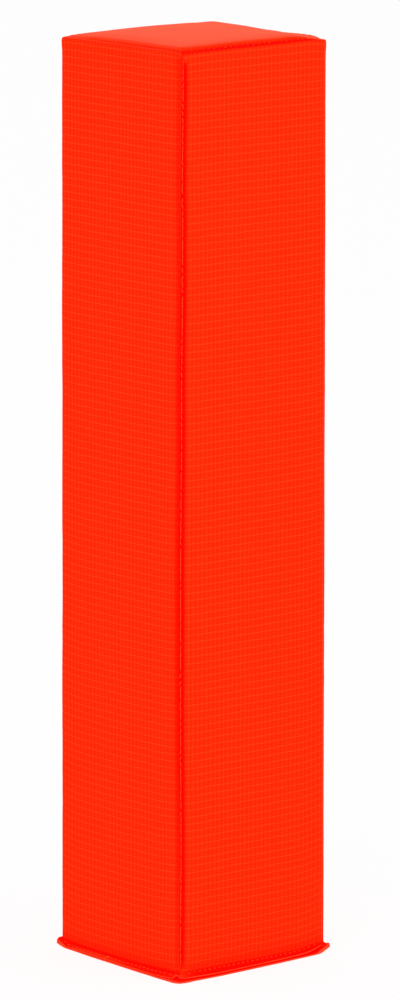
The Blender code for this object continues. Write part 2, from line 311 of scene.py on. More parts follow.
z -= POUCH_SAG * (1 + waves(3, *SAG_LENGTHS, x, y)) * (z - POUCH_RIM_PLANE) / POUCH_TOP
move_to(pouch_upper, x, y, z)
keep_cut(pouch_upper, a * POUCH_UPPER_CUT / 2, b * POUCH_UPPER_CUT / 2)

pouch_lower = add_grid("pouch_cloth_lower", POUCH_STEPS, POUCH_STEPS)
a, b, _ = places_of(pouch_lower).T
x, y, share = rounded_square(a, b, POUCH_HALF, POUCH_CORNER)
x, y = x * share, y * share
z = POUCH_LOWER_PLANE + POUCH_RIPPLE * waves(8, 12 * MM, 30 * MM, x, y)
move_to(pouch_lower, x, y, z)
keep_cut(pouch_lower, x, y)

for cloth, node, cut, under in ((pouch_upper, "ballast_pouch_upper", POUCH_UPPER_CUT, "sand_fill"),
                                (pouch_lower, "ballast_pouch_lower", 2 * POUCH_HALF, "base_panel_cloth")):
    cloth.data.materials.append(cotton)
    cloth.data.materials.append(cotton)
    give_thickness(cloth, POUCH_CLOTH)
    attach(cloth, "root")
    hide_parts(node)

# Thread that closes the pouch, in one run of lockstitch round the rim. A stitch is a short length of
# twisted thread, pulled down into the cloth at both ends.
THREAD = 0.42 * MM
STITCH_RISE = 0.16 * MM
STITCH_TAPER = 0.45
POUCH_STITCH = 2.9 * MM
POUCH_STITCH_DIP = 0.5 * MM
THREAD_SIDES = 6
THREAD_TWIST = 0.5 * MM
THREAD_RELIEF = 0.04 * MM
POUCH_STITCH_PITCH = 3.6 * MM
POUCH_THREAD_PALE = (0.78, 0.74, 0.66, 1)
POUCH_THREAD_DARK = (0.55, 0.50, 0.42, 1)


def twisted_thread(name, pale, dark, glow=0):
    """The material of a twisted thread, which has a painted glow of its dark colour, as strong as glow."""
    made, wire = new_material(name)
    around, along = cut_axes(wire)
    strands = ((around * 2 + along / THREAD_TWIST) * (2 * pi)).math("SINE") * 0.5 + 0.5
    finish_material(made, Base_Color=blend(strands, dark, pale), Roughness=0.6,
                    Specular_IOR_Level=0.1, Emission_Color=dark, Emission_Strength=glow,
                    Normal=relief(strands, THREAD_RELIEF))
    return made


def model_stitch(surface, length, dip, cuts=5):
    """One stitch along X with Z outwards, whose ends dip into the cloth. Copies of it make up the runs."""
    select_none()
    bpy.ops.mesh.primitive_cylinder_add(vertices=THREAD_SIDES, radius=THREAD / 2, depth=length)
    made = bpy.context.object
    enter("EDIT")
    bpy.ops.mesh.select_all(action="SELECT")
    for share in np.linspace(-0.4, 0.4, cuts):
        bpy.ops.mesh.bisect(plane_co=(0, 0, share * length), plane_no=(0, 0, 1))
        bpy.ops.mesh.select_all(action="SELECT")
    enter("OBJECT")
    side, up, along = places_of(made).T
    keep_cut(made, np.arctan2(up, side) / (2 * pi), along)
    far = abs(along) / (length / 2)
    taper = 1 - STITCH_TAPER * far ** 4
    lift = STITCH_RISE * (1 - far ** 2) - dip * far ** 6
    move_to(made, along, side * taper, up * taper + lift)
    made.data.materials.append(surface)
    bpy.ops.object.shade_smooth()
    return made


def sew(name, stitch, places):
    """A run of stitches: one copy at each place, joined into one piece."""
    copies = []
    for place in places:
        copy = stitch.copy()
        copy.data = stitch.data.copy()
        copy.data.transform(place)
        bpy.context.scene.collection.objects.link(copy)
        copies.append(copy)
    select_only(*copies)
    bpy.ops.object.join()
    copies[0].name = name
    return copies[0]


def stitch_place(middle, along, outwards, chance, uneven=0.12):
    """Where a stitch lies: its middle, its direction and its outward side, a little unevenly sewn."""
    x = Vector(along).normalized()
    z = Vector(outwards)
    z = (z - z.dot(x) * x).normalized()
    turn = Matrix((x, z.cross(x), z)).transposed().to_4x4()
    for axis in "ZX":
        turn = turn @ Matrix.Rotation(chance.normal(0, uneven), 4, axis)
    return Matrix.Translation(Vector(middle)) @ turn


def rim_places():
    """Stitches round the rim of the pouch."""
    chance = np.random.default_rng(21)
    half = POUCH_HALF - POUCH_RIM / 2
    height = POUCH_RIM_PLANE + POUCH_CLOTH / 2 + THREAD / 3
    count = int(2 * (half - POUCH_CORNER) / POUCH_STITCH_PITCH)
    places = []
    for side in range(4):
        turn = Matrix.Rotation(side * pi / 2, 4, "Z")
        for i in range(count + 1):
            u = (half - POUCH_CORNER) * (2 * i / count - 1)
            places.append(turn @ stitch_place((u, -half, height), (1, 0, 0), (0, 0, 1), chance))
        for i in range(1, 4):
            angle = (i / 4 - 1) * pi / 2
            centre = half - POUCH_CORNER
            middle = (centre + POUCH_CORNER * cos(angle), -centre + POUCH_CORNER * sin(angle), height)
            places.append(turn @ stitch_place(middle, (-sin(angle), cos(angle), 0), (0, 0, 1), chance))
    return places


thread_surface = twisted_thread("pouch thread", POUCH_THREAD_PALE, POUCH_THREAD_DARK)
pouch_stitch = model_stitch(thread_surface, POUCH_STITCH, POUCH_STITCH_DIP)
pouch_thread = sew("pouch_thread", pouch_stitch, rim_places())
bpy.data.objects.remove(pouch_stitch)
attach(pouch_thread, "root")
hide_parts("ballast_pouch_stitching")

# Base panel, the lower layer of the flange: the same coated cloth as the walls, cut square with round
# corners. It lies on the ground under the pouch, and its corners have curled up in use.
CLOTH = 0.7 * MM
BASE_HALF = 50.4 * MM
BASE_CORNER = 6 * MM
BASE_STEPS = 128
BASE_CURL_START = 88 * MM
LEFT_CURL_START = 86 * MM
BASE_CURL_END = 96.2 * MM
BASE_CURL = 2.15 * MM
LEFT_CURL = 1.35 * MM
BASE_CURL_POWER = 1.6
BASE_RIPPLE = 0.05 * MM
FOLD_FROM = 39 * MM
FOLD_SLANT = 0.38
# Each of these starts at the first measure, and is full by the second past it
RIPPLE_EDGE = 40 * MM, 8 * MM
CORNER_FOLD = 87.5 * MM, 3 * MM
FRONT_CORNER = 84 * MM, 5 * MM
FOLD_OUT = 49.4 * MM, 0.5 * MM
FOLD_ALONG = 36 * MM, 3 * MM
FOLD_RIM = 0.5 * MM, 0.5 * MM
# How deep the painted shade under its hems is, how much less in front and past a tip's fold, and at its rim
BASE_SHADE = 0.95
FRONT_LESS_SHADE = 0.2
FOLD_PAINTED_LIGHT = 0.8
RIM_SHADE = 0.9 * MM
RIM_LIGHT = 1.2 * MM
# How far each side's edge bulges past the square, by how far along the side it is
BASE_BULGE = {
    "front": ((-50, 0.9), (-49, 0.8), (-47, -0.2), (-40, -0.5), (-31, 0.1), (-25, 0.35), (0, 0.3),
              (14, 0.15), (27, -0.15), (35, -0.5), (42, -0.7), (50, -0.6)),
    "right": ((-50, -0.4), (-40, -0.3), (0, 0.3), (40, -0.3), (50, -0.5)),
    "back": ((-50, -0.4), (-40, -0.2), (0, 0.4), (40, -0.4), (50, -0.7)),
    "left": ((-50, -0.9), (-35, -0.8), (-27, -0.5), (-18, 0), (0, 0.3), (13, 0.55), (29, 0.75), (41, 0.75),
             (47, 0.55), (50, 0.4)),
}
# Each side's turn from the front in degrees, and its left and right corners
SIDES = (("front", 0, "front_left", "front_right"), ("right", 90, "front_right", "back_right"),
         ("back", 180, "back_right", "back_left"), ("left", 270, "back_left", "front_left"))
# The coated cloth: its colours, painted shade, sheen and glow, and the grid that shows through the coating
COVER_CELL = (0.98, 0.0170, 0.0012, 1)
COVER_LINE = (0.98, 0.0400, 0.0050, 1)
COVER_PAINTED_SHADE = (1.0, 0.06, 0.03, 1)
COVER_PAINTED_SHEEN = (1.0, 0.122, 0.059, 1)
COVER_PAINTED_GLOW = (0.30, 0.003, 0.0001, 1)
RED_PAINTED_GLOW = (1.0, 0.0, 0.0, 1)
PAINTED_GLOW_STRENGTH = 0.5
COVER_EDGE = (1.0, 0.075, 0.022, 1)
COVER_BACK = (0.95, 0.020, 0.004, 1)
COVER_ROUGHNESS = 0.7
COVER_SPECULAR = 0.01
# Painted sheen: from which low angle it starts, and where it is full
PAINTED_SHEEN_START = 0.54
PAINTED_SHEEN_END = 0.95
UPRIGHT_LINE_PITCH = 2.68 * MM
UPRIGHT_LINE_WIDTH = 0.60 * MM
LEVEL_LINE_PITCH = 3.46 * MM
LEVEL_LINE_WIDTH = 0.60 * MM
UPRIGHT_LINE_SHADE = 0.6
LEVEL_LINE_SHADE = 0.7
LINE_BLUR = 0.30 * MM
LINE_WANDER = 0.35 * MM
GRID_RELIEF = 0.06 * MM
YARN = 0.3 * MM
YARN_RELIEF = 0.02 * MM
STREAK_SHADE = 0.35
FRAY_DARKER = 0.72


def lines(position, pitch, width):
    """1 on lines of that width, 0 between them, with soft edges."""
    off = ((position / pitch).math("FRACT") - 0.5).math("ABSOLUTE") * pitch
    return ((width / 2 - off) / LINE_BLUR).math("ADD", 0.5, clamp=True)


def keep_painted_shade(piece, share):
    """Note how far into a crease or seam each vertex of the cloth lies, from 0 to 1, as its share of painted
    shade.
    """
    crease = piece.data.attributes.new("crease", "FLOAT", "POINT")
    crease.data.foreach_set("value", np.clip(share, 0, 1))


def coated_cloth(name):
    """Woven cloth with a soft fluorescent coating, through which the threads of its grid show.

    It has painted shade, deeper red, in its creases and seams, a painted sheen at low angles, and a painted
    glow.
    """
    made, wire = new_material(name)
    across, along = cut_axes(wire)
    place = wire.node("ShaderNodeUVMap", {"uv_map": "cut"})
    wander = (mottle(place, 16 * MM) - 0.5) * (2 * LINE_WANDER)
    upright = lines(across + wander, UPRIGHT_LINE_PITCH, UPRIGHT_LINE_WIDTH)
    level = lines(along + wander, LEVEL_LINE_PITCH, LEVEL_LINE_WIDTH)
    grid = upright * UPRIGHT_LINE_SHADE + level * LEVEL_LINE_SHADE
    yarns = plain_weave(across, along, YARN)
    stretched = place.node("ShaderNodeVectorMath", {"operation": "MULTIPLY"}, {0: place, 1: (1, 0.12, 1)})
    streaks = mottle(stretched, 0.45 * MM, 1)
    patches = mottle(place, 9 * MM, 3)
    shade = grid * (patches * 0.5 + 0.75) + (streaks - 0.5) * STREAK_SHADE
    height = grid * 0.5 + yarns * (YARN_RELIEF / GRID_RELIEF) * 0.5
    # The crease attribute is painted shade: it multiplies in a deeper red, takes away the painted sheen and
    # turns up the painted glow
    crease = wire.node("ShaderNodeAttribute", {"attribute_name": "crease"}, output="Fac")
    # Painted sheen: the colour turns paler where the cloth is seen at a low angle
    low_angle = wire.node("ShaderNodeLayerWeight", {}, {"Blend": 0.5}, output="Facing")
    painted_sheen = ((low_angle - PAINTED_SHEEN_START) / (PAINTED_SHEEN_END - PAINTED_SHEEN_START)).math("MULTIPLY", 1, clamp=True)
    colour = blend(painted_sheen * (1 - crease), blend(shade, COVER_CELL, COVER_LINE), COVER_PAINTED_SHEEN)
    multiply = {"data_type": "RGBA", "blend_type": "MULTIPLY"}
    colour = wire.node("ShaderNodeMix", multiply, {0: crease, 6: colour, 7: COVER_PAINTED_SHADE}, output=2)
    finish_material(made, Base_Color=colour, Roughness=COVER_ROUGHNESS, Specular_IOR_Level=COVER_SPECULAR,
                    Emission_Color=blend(crease, COVER_PAINTED_GLOW, RED_PAINTED_GLOW),
                    Emission_Strength=PAINTED_GLOW_STRENGTH, Normal=relief(height, GRID_RELIEF))
    return made


def frayed_cloth(name, colour, roughness):
    """A cut edge or the uncoated back of the cloth, where the yarns show. It has the cover's painted red
    glow.
    """
    made, wire = new_material(name)
    across, along = cut_axes(wire)
    fibres = mottle(wire.node("ShaderNodeTexCoord", output="Object"), 0.8 * MM, 3)
    dark = [c * FRAY_DARKER for c in colour[:3]] + [1]
    height = fibres + plain_weave(across, along, YARN)
    finish_material(made, Base_Color=blend(fibres, dark, colour), Roughness=roughness,
                    Specular_IOR_Level=COVER_SPECULAR, Emission_Color=RED_PAINTED_GLOW,
                    Emission_Strength=PAINTED_GLOW_STRENGTH, Normal=relief(height, YARN_RELIEF))
    return made


def rise(value, start, width):
    """0 up to the start, 1 from the width past it, and a smooth rise between."""
    share = np.clip((value - start) / width, 0, 1)
    return share * share * (3 - 2 * share)


def read_off(table, place, column=1):
    """What a table in millimetres says at a place in metres."""
    return np.interp(place / MM, *np.transpose(table)[[0, column]])


def turned(turn, x, y):
    """Places turned by so many degrees about the pylon's axis."""
    c, s = cos(radians(turn)), sin(radians(turn))
    return x * c - y * s, x * s + y * c


def ground_lift(x, y):
    """How far the base panel stands off the ground: its corners curl, but for the front left one."""
    start = np.where(x < 0, LEFT_CURL_START, BASE_CURL_START)
    height = np.where(x < 0, LEFT_CURL, BASE_CURL)
    share = rise(abs(x) + abs(y), start, BASE_CURL_END - start)
    return np.where((x < 0) & (y < 0), 0, height * share ** BASE_CURL_POWER)


def corner_fold(x, y):
    """1 where a curled corner of the base panel is folded double, 0 elsewhere, with a soft edge."""
    return np.where((x < 0) & (y < 0), 0, rise(abs(x) + abs(y), *CORNER_FOLD))


def cover_cloth(piece, thickness, shares=None):
    """Give a cloth of the cover its materials and its thickness."""
    for material in cover_materials:
        piece.data.materials.append(material)
    give_thickness(piece, thickness, inside=2, shares=shares)


cover_materials = [coated_cloth("cover cloth"), frayed_cloth("cover cut edge", COVER_EDGE, 0.8),
                   frayed_cloth("cover backing", COVER_BACK, 0.85)]

base = add_grid("base_panel_cloth", BASE_STEPS, BASE_STEPS)
a, b, _ = places_of(base).T
x, y, share = rounded_square(a, b, BASE_HALF, BASE_CORNER)
for side, turn, _, _ in SIDES:
    along, back = turned(-turn, x, y)
    bulge = read_off(BASE_BULGE[side], along) * MM * rise(-back / BASE_HALF, 0.8, 0.2)
    x, y = turned(turn, along, back - bulge)
x, y = x * share, y * share
under = rise(np.maximum(abs(x), abs(y)), *RIPPLE_EDGE)
ripple = BASE_RIPPLE * under * np.clip(0.5 + 0.5 * waves(31, 12 * MM, 30 * MM, x, y), 0, 1)
thickness = CLOTH * (1 + corner_fold(x, y))
z = thickness / 2 + ground_lift(x, y) + ripple
move_to(base, x, y, z)
keep_cut(base, x, y)

# Shade is painted deep red into the cloth where the hems shade it, with a painted light strip past the fold
# of each visible tip
rim = BASE_HALF - np.maximum(abs(x), abs(y))
in_front = rise(-x - y, *FRONT_CORNER)
along, out = np.where(x > 0, x, y), np.where(x > 0, -y, -x)
past_fold = rise(out + FOLD_SLANT * (along - FOLD_FROM), *FOLD_OUT)
past_fold *= rise(along, *FOLD_ALONG) * rise(rim, *FOLD_RIM)
shaded = rise(rim, RIM_LIGHT * in_front - RIM_SHADE, RIM_LIGHT)
keep_painted_shade(base, (BASE_SHADE - FRONT_LESS_SHADE * in_front) * shaded * (1 - FOLD_PAINTED_LIGHT * past_fold))
cover_cloth(base, 2 * CLOTH, thickness / (2 * CLOTH))
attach(base, "root")
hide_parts("base_panel")

# Foam core, one block of soft open-celled foam that keeps the cover square. It stands on the pouch and
# is cut back round its edges where the seam allowances lie.
FOAM_HALF = 43.7 * MM
FOAM_FOOT = 53.5 * MM
FOAM_SHELF = 452.2 * MM
FOAM_FACE_INSET = 8.6 * MM
FOAM_SIDE_RISE = 2.0 * MM
FOAM_TOP_RISE = 1.9 * MM
FOAM_EDGE = 1.2 * MM
FOAM_CROWN = 1.6 * MM
FOAM_DENTS = 0.12 * MM
FOAM_SLACK = 0.1 * MM
FOAM_PALE = (0.86, 0.84, 0.79, 1)
FOAM_DARK = (0.60, 0.57, 0.50, 1)
FOAM_CELL = 0.9 * MM
FOAM_RELIEF = 0.35 * MM

select_none()
bpy.ops.mesh.primitive_cube_add(size=1, location=(0, 0, (FOAM_FOOT + FOAM_SHELF) / 2))
foam = bpy.context.object
foam.name = "foam_block"
foam.scale = (2 * FOAM_HALF, 2 * FOAM_HALF, FOAM_SHELF - FOAM_FOOT)
bpy.ops.object.transform_apply(location=True, scale=True)
enter("EDIT")
bpy.ops.mesh.select_mode(type="FACE")
for axis, sign in ((0, -1), (0, 1), (1, -1), (1, 1), (2, 1)):
    bpy.ops.mesh.select_all(action="DESELECT")
    enter("OBJECT")
    facing = [face for face in foam.data.polygons if face.normal[axis] * sign > 0.9]
    max(facing, key=lambda face: face.area).select = True
    enter("EDIT")
    bpy.ops.mesh.inset(thickness=FOAM_FACE_INSET)
    push = [0, 0, 0]
    push[axis] = sign * (FOAM_TOP_RISE if axis == 2 else FOAM_SIDE_RISE)
    bpy.ops.mesh.extrude_region_move(TRANSFORM_OT_translate={"value": push})
enter("OBJECT")
bevel = foam.modifiers.new("soft edges", "BEVEL")
bevel.width = FOAM_EDGE
bevel.segments = 2
bevel.limit_method = "ANGLE"
bpy.ops.object.modifier_apply(modifier=bevel.name)
enter("EDIT")
bpy.ops.mesh.select_all(action="SELECT")
bpy.ops.mesh.subdivide(number_cuts=7)
enter("OBJECT")
x, y, z = places_of(foam).T
crown = FOAM_CROWN * (1 - (x / FOAM_HALF) ** 2) * (1 - (y / FOAM_HALF) ** 2)
dents = FOAM_DENTS * waves(41, 25 * MM, 70 * MM, x + y, z)
drawn_in = 1 - (dents + FOAM_SLACK) / FOAM_HALF
move_to(foam, x * drawn_in, y * drawn_in, z + crown * rise(z, FOAM_SHELF, FOAM_TOP_RISE))
bpy.ops.object.shade_smooth_by_angle(angle=radians(40))
foam_material, wire = new_material("open foam")
place = wire.node("ShaderNodeTexCoord", output="Object")
cells = place.node("ShaderNodeTexVoronoi", {}, {"Vector": place, "Scale": 1 / FOAM_CELL})
finish_material(foam_material, Base_Color=blend(cells * 1.6, FOAM_DARK, FOAM_PALE), Roughness=0.95,
                Normal=relief(cells, FOAM_RELIEF))
foam.data.materials.append(foam_material)
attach(foam, "root")
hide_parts("foam_core")

# Four side panels of coated cloth, sewn inside out, so that each edge rolls inwards to its seam and its
# allowance lies back inside. At the foot the panel turns out into a hem, which lies on the base panel.
SIDE_PLANE = 46.55 * MM
TOP_PLANE = 455.05 * MM
SEAM_GAP = -0.06 * MM
# Each edge: the length and the angle of its gentle bend, and the radius of its roll
SOFT_EDGE = (4.3 * MM, 0.42, 0.60 * MM)
CRISP_EDGE = (2.0 * MM, 0.30, 0.85 * MM)
UPPER_EDGE = (1.8 * MM, 0.28, 0.85 * MM)
CREASE_HEIGHT = 3 * MM
ALLOWANCE = 8 * MM
SEAM_HALF = 45.25 * MM
SEAM_PITCH = 3.4 * MM
SEAM_START = 4.2 * MM
SEAM_END = 447 * MM
SEAM_SCATTER = 0.16 * MM
SEAM_SEEDS = {"back_left": 50, "back_right": 52, "front_left": 54, "front_right": 56}
FAR_WANDER = 0.2 * MM
ROW = SEAM_PITCH / 4
FOOT_SPREAD = 0.48 * MM
TOP_SPREAD = -0.28 * MM
PUCKER = 0.17 * MM
FAR_PUCKER = 0.05 * MM
PUCKER_REACH = 2.6 * MM
PUCKER_START = 2 * MM
UNEVEN = 0.09 * MM
FINE_UNEVEN = 0.03 * MM
FOOT_TUCK = 0.75 * MM
FOOT_TUCK_REACH = 1.7 * MM
FOOT_DRAW = 0.45 * MM
FOOT_DRAW_REACH = 8 * MM
CORNER_FLARE = 0.35 * MM
FLARE_HEIGHT = 451 * MM
FLARE_REACH = 3.5 * MM
CORNER_DROP = 0.3 * MM
CORNER_DROP_REACH = 12 * MM
CORNER_SQUEEZE = 0.75
SQUEEZE_DEPTH = 1.2 * MM
HEM_ROWS = 8
HEM_ROW = 0.5 * MM
HEM_END = 48 * MM
HEM_FALL_POWER = 1.5
MITRE_START = 34 * MM
MITRE_LAP = 0.15 * MM
UNROLL_START = 0.6 * MM
UNROLL_REACH = 1.8 * MM
# How far above the crease a mitre starts to close, at the near corner and at the others
MITRE_CLOSES = 2.4 * MM, 1.0 * MM
# Each of these starts at the first measure, and is full by the second past it
TUCK_ENDS = 37 * MM, 5 * MM
DROP_ACROSS = 35 * MM, 9 * MM
FLARE_ACROSS = 38 * MM, 6 * MM
LIFT_UP = TOP_PLANE - 16 * MM, 12 * MM
WANDER_ACROSS = 26 * MM, 18 * MM
HEM_THINS = 1.5 * MM, 2.0 * MM
# Where the cut's corners are clipped: past each roll, past the wall's top, and below these heights
CLIP_SLACK = 0.1 * MM
UPPER_CLIP = 4.4 * MM
HEM_CLIP = -1.1 * MM
FOOT_CLIP = 6 * MM

# For each side, by how far along it is: the crease's height, and the hem's raw edge, out and up
FEET = {
    "front": ((-48.2, 4.6, 48.3, 2.5), (-46.5, 4.4, 48.3, 2.2), (-43.4, 4, 49, 2.1), (-40, 3.6, 49.5, 2.15),
              (-30, 3.5, 50, 1.75), (-20, 3.4, 50, 1.65), (0, 2.9, 50, 1.65), (14, 2.7, 50, 1.75),
              (27, 2.6, 50, 1.95), (32, 2.8, 49.9, 2.2), (36, 3.3, 49.6, 2.8), (38.4, 3.8, 48.9, 3.2),
              (41, 4.1, 48.1, 3.45), (43.4, 4.2, 47.4, 3.55), (46, 3.8, 46.9, 3.4), (48, 3.4, 46.8, 3.2)),
    "left": ((-48, 3.4, 46.6, 2.9), (-46, 3.5, 46.6, 2.7), (-43.4, 3.6, 47.2, 2.2), (-40.5, 3.2, 48.2, 1.55),
             (-37.5, 2.7, 49.2, 1.15), (-35, 2.4, 49.5, 1.15), (-30, 2.1, 49.9, 1.2), (-10, 2.1, 50.1, 1.2),
             (8, 2.3, 50.6, 1.1), (30, 2.9, 50.7, 1.15), (38, 3.6, 50.2, 1.35), (42.8, 4.1, 49.1, 1.6),
             (44.7, 4.4, 48.6, 3.7), (46.6, 4.5, 48.3, 2.9), (48.2, 4.6, 48.3, 2.5)),
    "right": ((-48, 3.4, 47.2, 3.2), (-46.5, 3.6, 47.4, 3.2), (-45, 3.8, 47.9, 2.8), (-43, 3.9, 48.4, 2.1),
              (-38, 3.2, 49.4, 1.4), (0, 2.6, 50.0, 1.3), (38, 3.2, 49.4, 1.4), (43, 4.0, 48.6, 1.6),
              (45, 4.1, 48.2, 2.4), (46.5, 4.0, 47.9, 3.2), (48, 3.8, 47.6, 3.5)),
    "back": ((-48, 3.8, 47.6, 3.5), (-46.5, 4.0, 47.9, 3.2), (-45, 4.1, 48.2, 2.4), (-43, 4.0, 48.6, 1.6),
             (-38, 3.2, 49.4, 1.4), (0, 2.6, 50.0, 1.3), (38, 3.2, 49.4, 1.4), (43, 4.0, 48.6, 1.6),
             (45, 3.8, 48.2, 2.2), (46.5, 3.5, 47.9, 2.8), (48, 3.4, 47.6, 2.9)),
}
# How far the front panel's upper edge is drawn up above its plane, by how far along it is
UPPER_LIFT = ((-47, 0.2), (-41, 0.4), (-28, 0.4), (-15, 0.6), (-3, 0.6), (10, 0.75), (22, 0.85), (29, 1.0),
              (35, 0.9), (40, 0.5), (44, 0.1), (47, 0))
# Where the painted shade on the near corner's broad edge starts and how deep it is, by its height
NEAR_SHADE = ((0, 42.0, 0.5), (15, 41.9, 0.6), (60, 41.5, 0.8), (110, 41.1, 0.95), (250, 41.0, 0.95),
              (330, 40.5, 0.9), (400, 40.2, 0.7), (447, 40.2, 0.65))
BROAD_SHADE_END = 44.2
# The same for its crisp edge, by how far across and how far up it is
CRISP_SHADE = 43.1 * MM, 1.2 * MM
CRISP_SHADE_UP = 3 * MM, 8 * MM
# How far before its roll's middle a seam's painted shade starts, and up to which height it goes, at that
# broad edge and elsewhere
SEAM_SHADE_LEAD = 0.65 * MM, 0.3 * MM
SEAM_SHADE_TOP = 453 * MM, 450.5 * MM
SEAM_SHADE_WIDTH = 0.4 * MM
SEAM_SHADE_FADE = 3 * MM
# How deep the painted shade in the other corner seams is, next to the near one
FAR_SEAM_SHADE = 0.35
# How deep the painted shade in each upper seam is, by how far along it is
UPPER_SHADE = {"front": ((-47, 0.7), (-41, 0.9), (-34, 1), (35, 1), (40, 0.3), (47, 0.2)),
               "right": ((0, 0.5),), "back": ((0, 0.1),), "left": ((0, 0.7),)}
UPPER_SHADE_START = {"front": 11.0, "right": 11.0, "back": 11.0, "left": 9.7}
UPPER_SHADE_WIDTH = 0.9 * MM
# How deep the foot's painted shade is: each step's shade, how far above the crease it starts, and its width
FOOT_SHADES = ((0.3, 8, 7), (0.65, 2.5, 3))
# How much less painted shade the foot takes at the near corner, from where along each side, and over what
# width
NEAR_FOOT_LIGHTER = 0.7
NEAR_FOOT_ENDS = 41 * MM, 43.7 * MM
NEAR_FOOT_FADE = 2.5 * MM
# How deep the painted shade on each hem is at its raw edge, by how far along it is
HEM_SHADE = {"front": ((0, 0.95),), "right": ((0, 0.7),), "back": ((0, 0.7),),
             "left": ((-47, 0.95), (-36, 0.85), (-29, 0.35), (0, 0.4), (8, 0.8), (34, 0.85), (44, 0.5))}
HEM_SHADE_STARTS = 0.8 * MM, 1.8 * MM
HEM_EDGE_SHARE = 0.7


def foot_at(side, u):
    """The crease's height and the raw edge's place, out and up, at some place along a side."""
    rows = np.array(FEET[side]) * MM
    near = [u + step * MM for step in (-0.6, -0.2, 0.2, 0.6)]
    return [np.mean([np.interp(n, rows[:, 0], rows[:, i]) for n in near], 0) for i in (1, 2, 3)]


def edge_start(edge, plane):
    """Where an edge starts to bend, for its roll to meet its neighbour's on the mitre between them."""
    length, angle, roll = edge
    bend = length / angle
    axis_depth = bend * (1 - cos(angle)) + roll * cos(angle)
    return plane - axis_depth - sqrt(2) * (roll + CLOTH / 2 + SEAM_GAP / 2) - (bend - roll) * sin(angle)


EDGE_STARTS = edge_start(CRISP_EDGE, SIDE_PLANE), edge_start(SOFT_EDGE, SIDE_PLANE)
UPPER_START = edge_start(UPPER_EDGE, TOP_PLANE)
WALL_TOP = UPPER_START - CREASE_HEIGHT


def rolled(past, edge):
    """Reach and depth of an edge, by the cloth's length past the start of its bend.

    It bends gently through the edge's angle, rolls on to a half turn, and lies back.
    """
    length, angle, roll = edge
    bend = length / angle
    gentle = np.clip(past, 0, length) / bend
    tight = np.clip((past - length) / roll, 0, pi - angle)
    back = np.clip(past - length - roll * (pi - angle), 0, None)
    reach = bend * np.sin(gentle) + roll * (np.sin(angle + tight) - sin(angle)) - back
    return reach, bend * (1 - np.cos(gentle)) + roll * (cos(angle) - np.cos(angle + tight))


def bent_length(edge, turn):
    """How far past the start of its bend an edge has turned through some angle."""
    length, angle, roll = edge
    return length + roll * (turn - angle)


def edge_length(p, turn):
    """The same for the left or the right edge of a side panel, by which half of it a place is in."""
    return np.where(p < 0, bent_length(CRISP_EDGE, turn), bent_length(SOFT_EDGE, turn))


def edge_stations(edge, bend_steps, roll_steps):
    """How far past the start of its bend an edge has columns of vertices."""
    length, end = edge[0], bent_length(edge, pi)
    return [*np.linspace(0, length, bend_steps + 1), *np.linspace(length, end, roll_steps + 1)[1:],
            end + ALLOWANCE / 2, end + ALLOWANCE]


def place_on(stations, share):
    """The stations of a grid's vertices, whose places run from -1 to 1."""
    return stations[np.rint((share + 1) / 2 * (len(stations) - 1)).astype(int)]


def cut_away(piece, clipped):
    """Cut the marked vertices out of a cloth."""
    enter("EDIT")
    bpy.ops.mesh.select_mode(type="VERT")
    bpy.ops.mesh.select_all(action="DESELECT")
    enter("OBJECT")
    piece.data.vertices.foreach_set("select", clipped)
    enter("EDIT")
    bpy.ops.mesh.delete(type="VERT")
    bpy.ops.mesh.select_all(action="SELECT")
    enter("OBJECT")


# How far the front left seam wanders sideways, by height. The others wander as the waves below
SEAM_WANDER = ((0, -0.3), (15, -0.3), (64, -0.05), (98, -0.2), (137, -0.4), (171, -0.4), (206, -0.4),
               (235, -0.25), (264, 0), (298, 0), (333, 0.35), (372, 0.4), (391, 0.25), (411, 0.35),
               (425, 0.5), (440, 0.6), (450, 0.4), (457, 0))


def seam_wander(corner, z):
    """How far sideways a corner seam lies of its straight line at some height."""
    if corner == "front_left":
        return read_off(SEAM_WANDER, z) * MM
    return FAR_WANDER * waves(len(corner), 120 * MM, 300 * MM, np.asarray(z), 0)


def seam_stitches(corner):
    """Heights of the stitches in a corner seam, and how hard each is pulled, from 0 to 1."""
    chance = np.random.default_rng(SEAM_SEEDS[corner])
    heights = np.arange(SEAM_START, SEAM_END, SEAM_PITCH)
    return heights + chance.normal(0, SEAM_SCATTER, len(heights)), chance.uniform(0.45, 1, len(heights))


def seam_pull(corner, height):
    """How hard a corner seam is pulled in at some height, from 0 between stitches to 1."""
    heights, pulls = seam_stitches(corner)
    count = np.interp(height, heights, np.arange(len(heights)))
    return np.interp(height, heights, pulls) * (0.5 + 0.5 * np.cos(2 * pi * count))


def spread(z):
    """How far the cover bulges past its nominal width: the sand widens its foot, and its top is drawn in."""
    return FOOT_SPREAD + (TOP_SPREAD - FOOT_SPREAD) * z / (457 * MM)


def wall_face(side, u, z):
    """How far a wall's cloth stands outwards of its plane, away from its rolled edges."""
    number = [name for name, *_ in SIDES].index(side)
    broad = UNEVEN * waves(60 + number, 45 * MM, 150 * MM, u, z)
    return spread(z) + broad + FINE_UNEVEN * waves(70 + number, 9 * MM, 25 * MM, u, z)


def upper_lift(side, x):
    """How far a side panel's upper edge is drawn up above its plane."""
    return read_off(UPPER_LIFT, x) * MM if side == "front" else 0 * x


